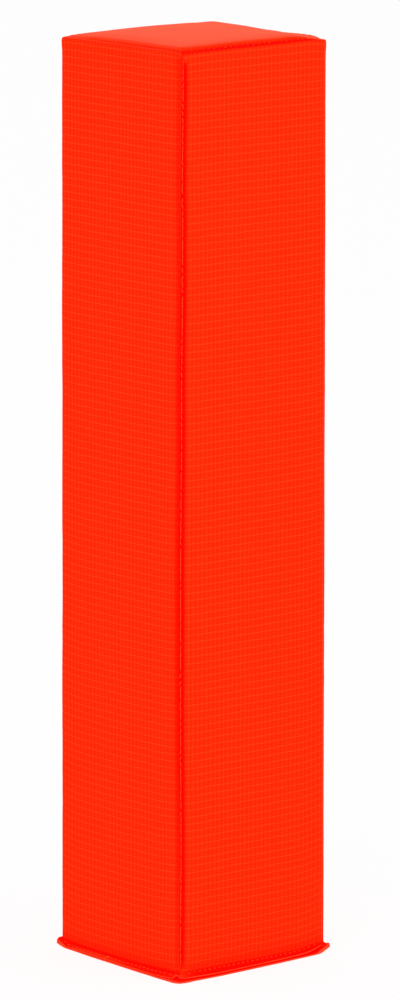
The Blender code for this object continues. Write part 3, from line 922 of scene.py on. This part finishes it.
def side_points(side, left, right, p, q):
    """Places of a side's cloth as it would lie at the front, by the place across and along its flat cut."""
    crisp_start, soft_start = EDGE_STARTS
    left_reach, left_depth = rolled(np.maximum(-p - crisp_start, 0), CRISP_EDGE)
    right_reach, right_depth = rolled(np.maximum(p - soft_start, 0), SOFT_EDGE)
    x = np.clip(p, -crisp_start, soft_start) - left_reach + right_reach
    depth = left_depth + right_depth

    # Down in the hem both edges unroll, and stretch to meet their neighbours on the mitre
    end = np.where(p < 0, *EDGE_STARTS) + edge_length(p, pi / 2)
    mitre = rise(abs(p), MITRE_START, end - MITRE_START)
    flat = rise(-q, -UNROLL_START, UNROLL_REACH)
    near = np.where(p < 0, left, right) == "front_left"
    closing = rise(-q, -np.where(near, *MITRE_CLOSES), UNROLL_REACH)

    # Up the wall, from the crease to the rolled upper edge
    crease = foot_at(side, x)[0]
    _, edge_out, edge_up = foot_at(side, np.sign(p) * (np.minimum(abs(p), end) + (HEM_END - end) * mitre))
    z = crease + np.clip(q, 0, WALL_TOP) * (UPPER_START - crease) / WALL_TOP
    out = wall_face(side, x, z)
    tuck = FOOT_TUCK * np.exp(-np.maximum(q, 0) / FOOT_TUCK_REACH)
    tuck += FOOT_DRAW * np.exp(-(np.maximum(q, 0) / FOOT_DRAW_REACH) ** 2)
    out -= tuck * (1 - rise(abs(p), *TUCK_ENDS))

    # Stitches draw the cloth in beside the corner seams
    for corner, start, sign in ((left, crisp_start, -1), (right, soft_start, 1)):
        beside = np.exp(-np.maximum(start + PUCKER_START - sign * p, 0) / PUCKER_REACH)
        depth = depth + (PUCKER if corner == "front_left" else FAR_PUCKER) * seam_pull(corner, z) * beside

    # The upper edge rolls in under the top panel, and drops a little towards the corners
    up_reach, up_depth = rolled(np.maximum(q - WALL_TOP, 0), UPPER_EDGE)
    both = (up_depth > 0) & (depth > 0)
    z = z + up_reach * np.where(depth > SQUEEZE_DEPTH, CORNER_SQUEEZE, 1)
    at_top = rise(z, UPPER_START - CORNER_DROP_REACH, CORNER_DROP_REACH)
    z -= CORNER_DROP * rise(abs(x), *DROP_ACROSS) * at_top
    z += upper_lift(side, x) * rise(z, *LIFT_UP)
    depth = np.where(both, np.hypot(depth, up_depth), depth + up_depth)

    # Outwards from the crease, the hem falls to its raw edge
    flare = np.where(near, 0, CORNER_FLARE)
    out += flare * rise(abs(x), *FLARE_ACROSS) * np.exp(-((z - FLARE_HEIGHT) / FLARE_REACH) ** 2)
    share = np.clip(-q / (HEM_ROWS * HEM_ROW), 0, 1)
    hem_out = edge_out - SIDE_PLANE
    out = out + (hem_out - out) * share
    z = z + (edge_up - z) * (1 - (1 - share) ** HEM_FALL_POWER)
    depth = depth * (1 - flat)
    y = SIDE_PLANE + out - depth
    across = abs(x) * (1 + spread(z) / SEAM_HALF)
    across = across + (np.minimum(abs(p), end) - across) * flat
    x = np.sign(x) * (across + (y + MITRE_LAP - end) * mitre * closing)

    # Both edges follow their seams, which don't run quite straight
    for corner, sign in ((left, -1), (right, 1)):
        aside = seam_wander(corner, z) * sqrt(0.5) * rise(sign * x, *WANDER_ACROSS) * (1 - flat)
        x, y = x + aside, y - sign * aside
    return x, -y, z


def side_stations():
    """Columns and rows of a side panel, as places across and along its flat cut."""
    start, end = EDGE_STARTS
    crisp = [-start - s for s in edge_stations(CRISP_EDGE, 4, 8)]
    soft = [end + s for s in edge_stations(SOFT_EDGE, 6, 7)]
    flat = np.linspace(-start, end, 17)[1:-1]
    hem = -HEM_ROW * np.arange(HEM_ROWS, 0, -1)
    foot = np.array([0, 0.3, 0.6, 1.0, 1.5, 2.1, 2.8, 3.6]) * MM
    wall = np.arange(3.6 * MM + ROW, WALL_TOP - ROW / 2, ROW)
    upper = [WALL_TOP + s for s in edge_stations(UPPER_EDGE, 4, 8)]
    return np.array([*crisp[::-1], *flat, *soft]), np.array([*hem, *foot, *wall, *upper])


columns, rows = side_stations()
for side, turn, left, right in SIDES:
    panel = add_grid(f"{side}_panel_cloth", len(columns) - 1, len(rows) - 1)
    a, b, _ = places_of(panel).T
    p, q = place_on(columns, a), place_on(rows, b)
    x, y, z = side_points(side, left, right, p, q)
    move_to(panel, *turned(turn, x, y), z)
    keep_cut(panel, p, q)

    # The corner seams take painted shade in deep red, the near one also some way beside its broad edge
    near = np.where(p < 0, left, right) == "front_left"
    past = abs(p) - np.where(p < 0, *EDGE_STARTS)
    edge_round = edge_length(p, pi / 2)
    at_broad = near & (p > 0)
    in_seam = rise(past, edge_round - np.where(at_broad, *SEAM_SHADE_LEAD), SEAM_SHADE_WIDTH)
    broad_start = read_off(NEAR_SHADE, z)
    broad = np.clip((p / MM - broad_start) / (BROAD_SHADE_END - broad_start), 0, 1)
    broad *= read_off(NEAR_SHADE, z, 2)
    at_crisp = rise(-p, *CRISP_SHADE) * (0.3 + 0.7 * rise(z, *CRISP_SHADE_UP))
    seam = np.where(near, np.maximum(in_seam, np.where(p < 0, at_crisp, broad)), FAR_SEAM_SHADE * in_seam)
    seam = seam * rise(-z, -np.where(at_broad, *SEAM_SHADE_TOP), SEAM_SHADE_FADE)

    # And so do the foot, the hem and the upper seam
    foot = sum(shade * rise(-q, -height * MM, width * MM) for shade, height, width in FOOT_SHADES)
    in_hem = rise(-q, *HEM_SHADE_STARTS)
    foot += (read_off(HEM_SHADE[side], p) - foot) * in_hem
    foot *= 1 - NEAR_FOOT_LIGHTER * near * rise(abs(p), np.where(p < 0, *NEAR_FOOT_ENDS), NEAR_FOOT_FADE)
    upper = rise(q, rows[-1] - UPPER_SHADE_START[side] * MM, UPPER_SHADE_WIDTH)
    upper *= read_off(UPPER_SHADE[side], p)
    keep_painted_shade(panel, np.maximum(seam * (1 - in_hem), np.maximum(foot, upper)))

    # The cut's corners are clipped, so that no two allowances lie on each other
    roll_end = edge_length(p, pi) + CLIP_SLACK
    above = q - WALL_TOP
    clipped = (past > roll_end) & (above > -ALLOWANCE)
    clipped |= (past > 0) & (above > UPPER_CLIP)
    clipped |= (past > edge_round + CLIP_SLACK) & (q < HEM_CLIP)
    clipped |= (past > roll_end) & (q < FOOT_CLIP)
    cut_away(panel, clipped)
    to_edge = rise(-q[~clipped], *HEM_THINS)
    cover_cloth(panel, CLOTH, 1 - (1 - HEM_EDGE_SHARE) * to_edge)
    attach(panel, "root")
    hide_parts(f"{side}_panel")
    cut = columns[-1] - columns[0], rows[-1] - rows[0]

# Thread in the four corner seams. The seams are sewn from inside, and where they are pulled open each
# stitch shows as a short bright bar between the two rolled edges.
CORNER_STITCH = 3.8 * MM
CORNER_STITCH_DIP = 0.1 * MM
PULL_IN = 0.12 * MM
STITCH_LEAN = 0.05
# Each corner: the signs of its x and y, and how deep its thread lies
CORNERS = (("front_left", -1, -1, 0.3 * MM), ("front_right", 1, -1, 1.1 * MM),
           ("back_right", 1, 1, 0.8 * MM), ("back_left", -1, 1, 1.1 * MM))
COVER_THREAD_PALE = (1.0, 0.088, 0.012, 1)
COVER_THREAD_DARK = (1.0, 0.022, 0.002, 1)
cover_thread = twisted_thread("cover thread", COVER_THREAD_PALE, COVER_THREAD_DARK, PAINTED_GLOW_STRENGTH)
corner_stitch = model_stitch(cover_thread, CORNER_STITCH, CORNER_STITCH_DIP)
for corner, sx, sy, deep in CORNERS:
    chance = np.random.default_rng(80 + sx + 2 * sy)
    heights, pulls = seam_stitches(corner)
    places = []
    for height, pull in zip(heights, pulls):
        half = SEAM_HALF - deep + spread(height) - PULL_IN * pull
        aside = seam_wander(corner, height + SEAM_PITCH / 2) * sqrt(0.5)
        middle = (sx * half - sy * aside, sy * half + sx * aside, height + SEAM_PITCH / 2)
        lean = (sx * STITCH_LEAN * chance.normal(), -sy * STITCH_LEAN * chance.normal(), 1)
        places.append(stitch_place(middle, lean, (sx, sy, 0), chance))
    run = sew(f"corner_thread_{corner}", corner_stitch, places)
    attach(run, "root")
    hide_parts(f"corner_stitching_{corner}")
bpy.data.objects.remove(corner_stitch)

# Top panel, a square of the same cloth whose four edges roll down into the top seams. The foam under it
# crowns it, and its corners are drawn down.
TOP_EDGE = (2.4 * MM, 0.42, 0.80 * MM)
TOP_START = edge_start(TOP_EDGE, TOP_PLANE) - (TOP_PLANE - SIDE_PLANE)
TOP_HALF = 44 * MM
TOP_CROWN = 1.75 * MM
TOP_UNEVEN = 0.08 * MM
TOP_SHOULDER = 12 * MM
TOP_SHOULDER_POWER = 2.2
TOP_DOME = 0.45
TOP_CLIP = 4.9 * MM
# Where the painted shade in its seams' rolls starts and over what width, and how much of it on the left
TOP_ROLL_SHADE = 2.7 * MM, 1.0 * MM
LEFT_ROLL_SHADE = 0.4
TOP_STEPS = 40
# How far the panel's rim lies below its plane, by the angle round from the middle of the front
TOP_DROPS = {0: -0.6, 26: -0.6, 32: -0.65, 37: -0.2, 40: 0.6, 42.5: 1.3, 45: 1.8, 48: 0.6, 51: 1.1, 54: 1.6,
             60: 1.5, 66: 1.4, 70: 1.1, 84: 1.1, 93: 0.8, 103: 0.5, 120: 0.3, 129: 0.2, 132: 0.7, 135: 1.7,
             138: 1.8, 141: 1.5, 147: 1.3, 155: 1.2, 165: 1.0, 180: 1.0, 193: 1.2, 203: 1.4, 210: 1.6,
             218: 1.8, 225: 1.8, 240: 0.6, 270: 0.15, 300: 0.15, 315: -0.1, 329: -0.25, 342: -0.5,
             360: -0.6}


def top_points(p, q):
    """Places of the top panel's cloth, by how far across and along its flat cut they lie."""
    past_x, past_y = abs(p) - TOP_START, abs(q) - TOP_START
    past = np.maximum(past_x, past_y)
    corner = (past_x > 0) & (past_y > 0)
    turn = np.where(corner, np.minimum(past_x, past_y) / np.maximum(past, 1e-9) * pi / 4, 0)
    reach, depth = rolled(np.maximum(past, 0), TOP_EDGE)
    main, cross = reach * np.cos(turn), np.where(corner, reach * np.sin(turn), 0)
    along_x = past_x >= past_y
    x = np.sign(p) * (np.clip(abs(p), 0, TOP_START) + np.where(along_x, np.where(past_x > 0, main, 0), cross))
    y = np.sign(q) * (np.clip(abs(q), 0, TOP_START) + np.where(along_x, cross, np.where(past_y > 0, main, 0)))

    # Crowned, with round shoulders towards the edges
    a, b = np.clip(x / TOP_HALF, -1, 1), np.clip(y / TOP_HALF, -1, 1)
    inwards = (TOP_HALF - np.maximum(abs(x), abs(y))) / TOP_SHOULDER
    shoulder = 1 - (1 - np.clip(inwards, 0, 1)) ** TOP_SHOULDER_POWER
    crown = TOP_CROWN * (TOP_DOME * (1 - a * a) * (1 - b * b) + (1 - TOP_DOME) * shoulder)
    angles = np.degrees(np.arctan2(x, -y)) % 360
    drop = np.interp(angles, list(TOP_DROPS), list(TOP_DROPS.values())) * MM
    drop = drop * np.maximum(abs(a), abs(b)) ** 3
    uneven = TOP_UNEVEN * waves(91, 18 * MM, 45 * MM, x, y)
    return x, y, TOP_PLANE + crown - drop + uneven * np.clip(inwards, 0, 1) - depth


edge = np.array(edge_stations(TOP_EDGE, 6, 8)) + TOP_START
stations = np.array([*-edge[::-1], *np.linspace(-TOP_START, TOP_START, TOP_STEPS + 1)[1:-1], *edge])
top = add_grid("top_panel_cloth", len(stations) - 1, len(stations) - 1)
a, b, _ = places_of(top).T
p, q = place_on(stations, a), place_on(stations, b)
move_to(top, *top_points(p, q))
keep_cut(top, p, q)
# Painted shade, deep red, in the rolls of its seams: less on the left, and along the front as in the front's
# upper seam
past = np.maximum(abs(p), abs(q)) - TOP_START
in_seam = rise(past, *TOP_ROLL_SHADE)
along_front = read_off(UPPER_SHADE["front"], p)
on_left = (abs(p) > abs(q)) & (p < 0)
keep_painted_shade(top, in_seam * np.where(on_left, LEFT_ROLL_SHADE, np.where(q < 0, along_front, 1)))
past_both = np.minimum(abs(p), abs(q)) - TOP_START
cut_away(top, (past_both > -ALLOWANCE) & (past > TOP_CLIP))
cover_cloth(top, CLOTH)
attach(top, "root")
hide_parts("top_panel")

# Thread in the four top seams, the same as in the corners. It is pulled in so far that only the middle
# of each stitch shows, as a row of small bright dots under the top panel's edge.
TOP_SEAM_HEIGHT = 453.35 * MM
TOP_SEAM_OUT = {"front": 45.4 * MM, "right": 44.2 * MM, "back": 44.2 * MM, "left": 43.9 * MM}
TOP_SEAM_PITCH = 3.5 * MM
TOP_SEAM_HALF = 39.5 * MM
TOP_SCATTER = 0.12 * MM, 0.08 * MM
TOP_STITCH = 0.9 * MM
TOP_STITCH_DIP = 0.2 * MM
top_stitch = model_stitch(cover_thread, TOP_STITCH, TOP_STITCH_DIP)
for side, turn, _, _ in SIDES:
    chance = np.random.default_rng(100 + turn)
    to_side = Matrix.Rotation(radians(turn), 4, "Z")
    places = []
    for u in np.arange(-TOP_SEAM_HALF, TOP_SEAM_HALF, TOP_SEAM_PITCH):
        height = TOP_SEAM_HEIGHT + upper_lift(side, u) + chance.normal(0, TOP_SCATTER[1])
        middle = (u + chance.normal(0, TOP_SCATTER[0]), -TOP_SEAM_OUT[side], height)
        places.append(to_side @ stitch_place(middle, (1, 0, 0), (0, -1, 1), chance))
    run = sew(f"top_thread_{side}", top_stitch, places)
    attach(run, "root")
    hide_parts(f"top_stitching_{side}")
bpy.data.objects.remove(top_stitch)

# Thread that sews each hem down on the base panel, along the crease at the wall's foot. One end of it was
# left long, and curls out over the base panel's edge.
HEM_PITCH = 3.05 * MM
HEM_SEAM_HALF = 40.5 * MM
HEM_STITCH = 1.4 * MM
HEM_STITCH_DIP = 0.3 * MM
HEM_STITCH_SHARE = {"front": ((0, 0.2),), "right": ((0, 0.3),), "back": ((0, 0.3),),
                    "left": ((-40, 0.8), (0, 0.6), (15, 0.5), (40, 0.45))}
HEM_STITCH_RISE = {"front": -0.04 * MM, "right": 0.06 * MM, "back": 0.06 * MM, "left": 0.08 * MM}
LOOSE_LENGTH = 7 * MM
LOOSE_WIDTH = 1.35
LOOSE_PATH = ((-48.4, 5.0, 1.6), (-49.4, 4.5, 2.5), (-50.0, 5.0, 2.85), (-50.4, 5.95, 2.3), (-50.7, 6.4, 1.3),
              (-50.9, 6.1, 0.6))


def bend_along(thread, path):
    """Bend a straight thread that lies along X into a smooth curve past the points of a path."""
    points = np.array(path) * MM
    along, side, up = places_of(thread).T
    share = (along - along.min()) / np.ptp(along)
    curve = [np.polyfit(np.linspace(0, 1, len(points)), axis, 4) for axis in points.T]
    middle = np.stack([np.polyval(axis, share) for axis in curve], 1)
    ahead = np.stack([np.polyval(np.polyder(axis), share) for axis in curve], 1)
    ahead /= np.linalg.norm(ahead, axis=1, keepdims=True)
    across = np.cross(ahead, (1, 1, 0))
    across /= np.linalg.norm(across, axis=1, keepdims=True)
    bent = middle + LOOSE_WIDTH * (across * side[:, None] + np.cross(across, ahead) * up[:, None])
    move_to(thread, *bent.T)


hem_stitch = model_stitch(cover_thread, HEM_STITCH, HEM_STITCH_DIP)
for side, turn, left, right in SIDES:
    chance = np.random.default_rng(120 + turn)
    to_side = Matrix.Rotation(radians(turn), 4, "Z")
    places = []
    along = np.arange(-HEM_SEAM_HALF, HEM_SEAM_HALF, HEM_PITCH)
    q = -read_off(HEM_STITCH_SHARE[side], along) * HEM_ROWS * HEM_ROW
    x, y, z = side_points(side, left, right, along, q)
    for i in range(len(along)):
        middle = (x[i], y[i], z[i] + CLOTH / 2 + HEM_STITCH_RISE[side])
        places.append(to_side @ stitch_place(middle, (1, 0, 0), (0, -0.5, 1), chance))
    run = sew(f"hem_thread_{side}", hem_stitch, places)
    if side == "left":
        loose = model_stitch(cover_thread, LOOSE_LENGTH, 0, cuts=19)
        bend_along(loose, LOOSE_PATH)
        select_only(run, loose)
        bpy.ops.object.join()
    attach(run, "root")
    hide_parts(f"base_stitching_{side}")
bpy.data.objects.remove(hem_stitch)

# Studio. A pale floor that keeps the pylon's shadow, soft light from all round and from two soft boxes,
# and a camera with a long lens, a little above the pylon's middle and turned to its front left corner.
FLOOR_WHITE = (0.93, 0.93, 0.93, 1)
FLOOR_GLOW = 0.9
WORLD_LIGHT = 0.9
LAMP_POWER = 9
LAMP_SIZE = 1.2
LAMP_AIM = 0.25
CAMERA_REACH = 3033.6 * MM
CAMERA_HEIGHT = 795.4 * MM
CAMERA_TURN = radians(-40.0)
CAMERA_PITCH = radians(10.628)
CAMERA_YAW = radians(0.0631)
CAMERA_ROLL = radians(0.078)
CAMERA_LENS = 226.83

select_none()
bpy.ops.mesh.primitive_plane_add(size=40)
floor = bpy.context.object
floor.name = "studio_floor"
floor_material, wire = new_material("studio floor")
finish_material(floor_material, Base_Color=FLOOR_WHITE, Roughness=0.9, Specular_IOR_Level=0.1)
tree = floor_material.node_tree
seen = wire.node("ShaderNodeLightPath", output="Is Camera Ray")
for ray in ("Is Glossy Ray", "Is Transmission Ray"):
    seen = seen.math("MAXIMUM", wire.node("ShaderNodeLightPath", output=ray))
glow = wire.node("ShaderNodeEmission", {}, {"Color": (1, 1, 1, 1), "Strength": 1.0})
lit = Wire(tree, tree.nodes["Principled BSDF"].outputs[0])
mixed = wire.node("ShaderNodeMixShader", {}, {0: seen * FLOOR_GLOW, 1: lit, 2: glow})
tree.links.new(mixed.socket, tree.nodes["Material Output"].inputs["Surface"])
floor.data.materials.append(floor_material)

world = bpy.data.worlds.new("studio")
bpy.context.scene.world = world
world.use_nodes = True
wire = Wire(world.node_tree)
seen = wire.node("ShaderNodeLightPath", output="Is Camera Ray")
seen = seen.math("MAXIMUM", wire.node("ShaderNodeLightPath", output="Is Glossy Ray"))
strength = WORLD_LIGHT + seen * (1 - WORLD_LIGHT)
background = world.node_tree.nodes["Background"]
background.inputs["Color"].default_value = (1, 1, 1, 1)
world.node_tree.links.new(strength.socket, background.inputs["Strength"])

for name, place in (("left_soft_box", (-1.6, -0.9, 1.1)), ("right_soft_box", (1.0, -1.7, 1.1))):
    bpy.ops.object.light_add(type="AREA", location=place)
    lamp = bpy.context.object
    lamp.name = name
    lamp.data.shape = "SQUARE"
    lamp.data.size = LAMP_SIZE
    lamp.data.energy = LAMP_POWER
    lamp.rotation_euler = (Vector((0, 0, LAMP_AIM)) - Vector(place)).to_track_quat("-Z", "Y").to_euler()

bpy.ops.object.camera_add()
camera = bpy.context.object
camera.data.lens = CAMERA_LENS
camera.data.clip_end = 60
camera.matrix_world = (
    Matrix.Translation((sin(CAMERA_TURN) * CAMERA_REACH, -cos(CAMERA_TURN) * CAMERA_REACH, CAMERA_HEIGHT))
    @ Matrix.Rotation(CAMERA_TURN - CAMERA_YAW, 4, "Z")
    @ Matrix.Rotation(pi / 2 - CAMERA_PITCH, 4, "X")
    @ Matrix.Rotation(CAMERA_ROLL, 4, "Z")
)
bpy.context.scene.camera = camera
bpy.context.scene.view_settings.view_transform = "Standard"
